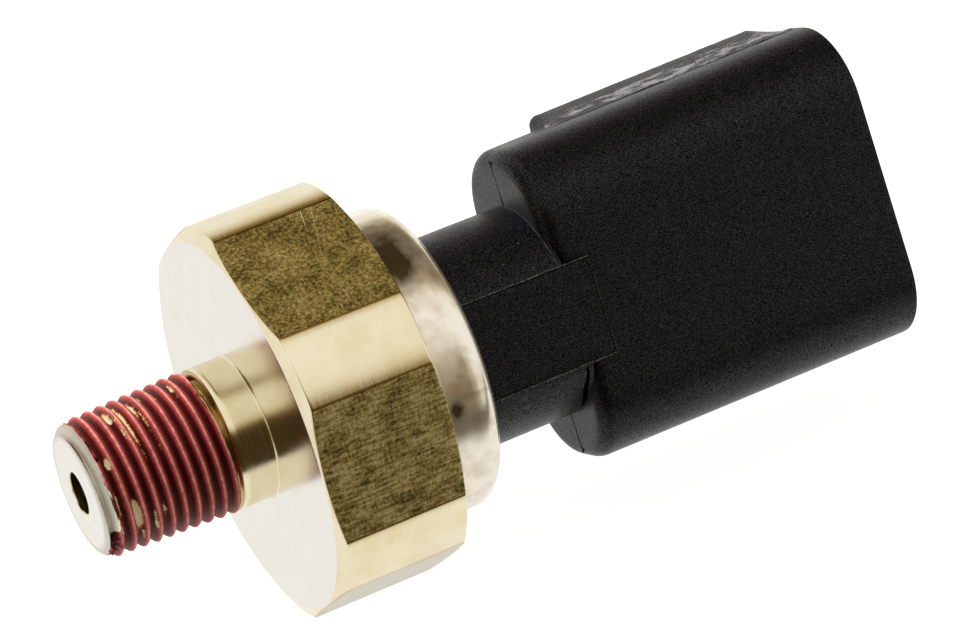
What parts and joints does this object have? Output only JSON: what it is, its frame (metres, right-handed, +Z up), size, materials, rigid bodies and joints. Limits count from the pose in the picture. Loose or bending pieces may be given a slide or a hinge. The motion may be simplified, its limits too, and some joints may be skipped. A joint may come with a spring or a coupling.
{
  "type": "oil pressure sender",
  "caption": "Engine oil pressure sender: brass hexagonal fitting with a sealed taper pipe thread and a black moulded plug connector crimped into it.",
  "frame": {"origin": "on the axis of the thread, at the hexagon's thread-side face", "axes": "+X along the axis from the thread to the connector's mouth, +Z up, square to the hexagon's upper flat"},
  "size_m": [0.061, 0.0286, 0.027],
  "materials": {
    "brass": "turned, bright",
    "sealant": "baked coat, satin",
    "rubber": "moulded",
    "ceramic": "fired, ground",
    "frit": "fused glass",
    "pin_metal": "plated",
    "support_plastic": "moulded",
    "board": "lacquered laminate",
    "chip": "moulded",
    "capacitor": "fired",
    "tinned_metal": "tin plated",
    "black_plastic": "moulded, fine grain"
  },
  "bodies": {
    "root": {"brass_body": "brass", "thread_sealant": "sealant", "pressure_seal_ring": "rubber", "ceramic_diaphragm": "ceramic", "glass_seal_ring": "frit", "ceramic_base": "ceramic", "element_pin_1": "pin_metal", "element_pin_2": "pin_metal", "element_pin_3": "pin_metal", "element_pin_4": "pin_metal", "support_ring": "support_plastic", "circuit_board": "board", "signal_chip": "chip", "chip_capacitor_1": "capacitor", "chip_capacitor_2": "capacitor", "chip_capacitor_3": "capacitor", "chip_resistor_1": "chip", "chip_resistor_2": "chip", "terminal_1": "tinned_metal", "terminal_2": "tinned_metal", "terminal_3": "tinned_metal", "housing_seal_ring": "rubber", "connector_housing": "black_plastic"}
  },
  "joints": []
}
